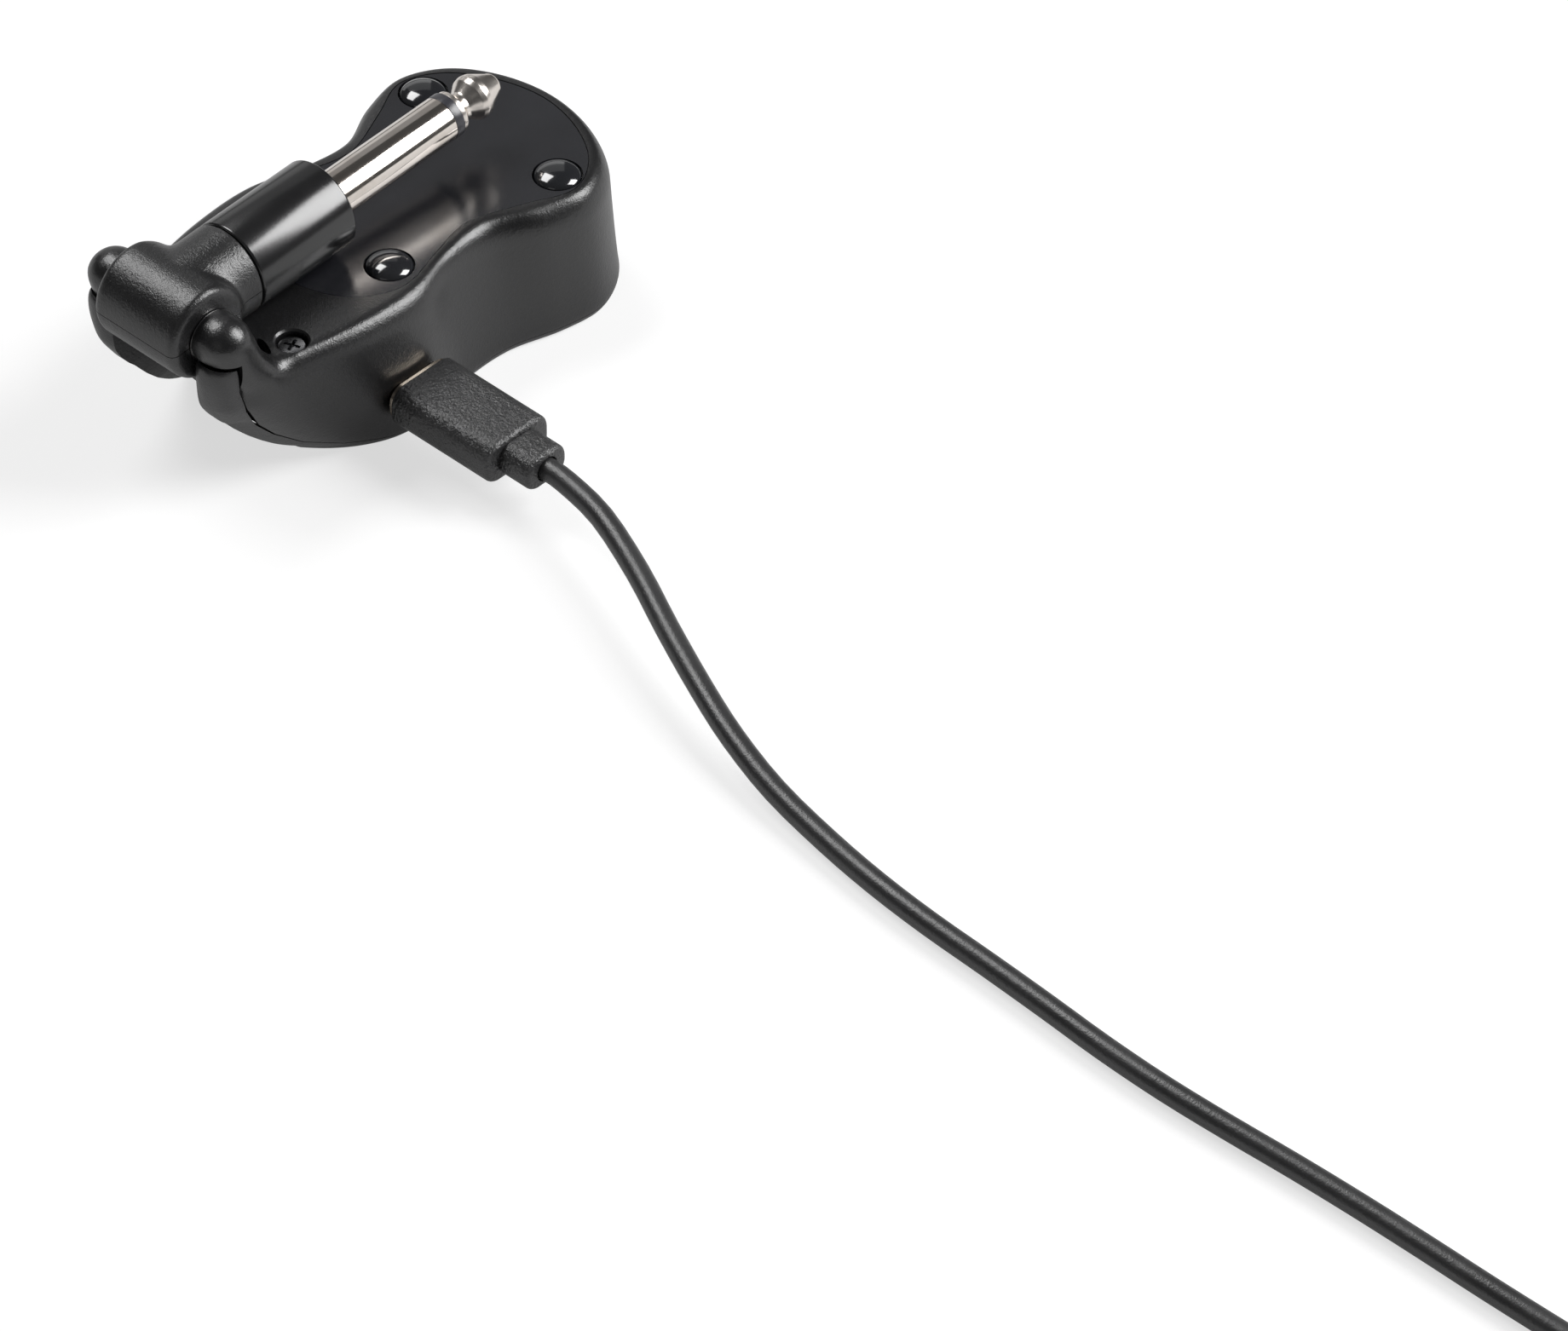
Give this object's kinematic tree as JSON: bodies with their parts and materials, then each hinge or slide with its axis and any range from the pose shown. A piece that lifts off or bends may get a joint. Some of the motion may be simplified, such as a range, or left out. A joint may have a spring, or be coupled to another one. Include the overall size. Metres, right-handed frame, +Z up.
{
  "type": "wireless guitar transmitter",
  "caption": "Plug-on wireless instrument transmitter with a folding jack plug on a hinged tee, waisted case, front buttons and a USB charge lead.",
  "frame": {"origin": "centre of the case's footprint on the surface it lies on, front face down", "axes": "+X from the hinge to the wide lobe, +Y away from the charge port, +Z up out of the label side"},
  "size_m": [0.1419, 0.2986, 0.033],
  "materials": {
    "shell_black": "satin, fine moulded texture",
    "front_black": "satin, fine moulded texture",
    "label_grey": "smooth semi-matte film",
    "dome_black": "polished dome",
    "screw_black": "black oxide with worn edges",
    "journal_white": "plain moulded acetal",
    "spring_steel": "bright strip",
    "board_green": "solder mask",
    "shield_tin": "tin plate",
    "cell_foil": "pouch foil",
    "foam_grey": "closed cell foam",
    "antenna_copper": "bare copper",
    "switch_black": "moulded",
    "socket_steel": "drawn steel",
    "tongue_black": "moulded",
    "lens_clear": "clear light pipe",
    "button_black": "fine matte",
    "arm_black": "satin, fine moulded texture",
    "collar_black": "glossy",
    "nut_brass": "machined",
    "plug_nickel": "warm bright nickel",
    "insulator_black": "turned",
    "wire_red": "pvc",
    "usb_nickel": "warm nickel",
    "grip_black": "grained overmould",
    "cable_black": "semi-matte pvc",
    "tie_black": "hook and loop",
    "tongue_white": "moulded"
  },
  "bodies": {
    "case": {"rear_shell": "shell_black", "front_shell": "front_black", "label_plate": "label_grey", "dome_feet": "dome_black", "case_screws": "screw_black", "hinge_journals": "journal_white", "friction_washers": "spring_steel", "main_board": "board_green", "radio_shield": "shield_tin", "battery_cell": "cell_foil", "battery_pad": "foam_grey", "antenna_strip": "antenna_copper", "button_switches": "switch_black", "charge_socket_shell": "socket_steel", "charge_socket_tongue": "tongue_black", "status_lens": "lens_clear"},
    "plug_arm": {"arm_upper_half": "arm_black", "arm_lower_half": "arm_black", "collar": "collar_black", "plug_nut": "nut_brass", "plug_sleeve": "plug_nickel", "plug_insulator": "insulator_black", "plug_tip": "plug_nickel", "plug_wires": "wire_red"},
    "power_button": {"power_button": "button_black"},
    "channel_button": {"channel_button": "button_black"},
    "charge_lead": {"usb_c_shell": "usb_nickel", "usb_c_grip": "grip_black", "usb_c_boot": "grip_black", "charge_cable": "cable_black", "cable_coil": "cable_black", "cable_tail": "cable_black", "cable_tie": "tie_black", "usb_a_boot": "grip_black", "usb_a_grip": "grip_black", "usb_a_shell": "usb_nickel", "usb_a_tongue": "tongue_white"}
  },
  "joints": [
    {"name": "plug_fold", "type": "hinge", "parent": "case", "child": "plug_arm", "pos_m": [-0.03235, 0, 0.0255], "axis": [0, -1, 0], "range_deg": [0, 180]},
    {"name": "power_press", "type": "slide", "parent": "case", "child": "power_button", "axis": [0, 0, 1], "range_m": [0, 0.0003], "stiffness_N_per_m": 500, "springref_m": -0.0004},
    {"name": "channel_press", "type": "slide", "parent": "case", "child": "channel_button", "axis": [0, 0, 1], "range_m": [0, 0.0003], "stiffness_N_per_m": 500, "springref_m": -0.0004},
    {"name": "charge_plug_pull", "type": "slide", "parent": "case", "child": "charge_lead", "axis": [0, -1, 0], "range_m": [0, 0.012]}
  ]
}
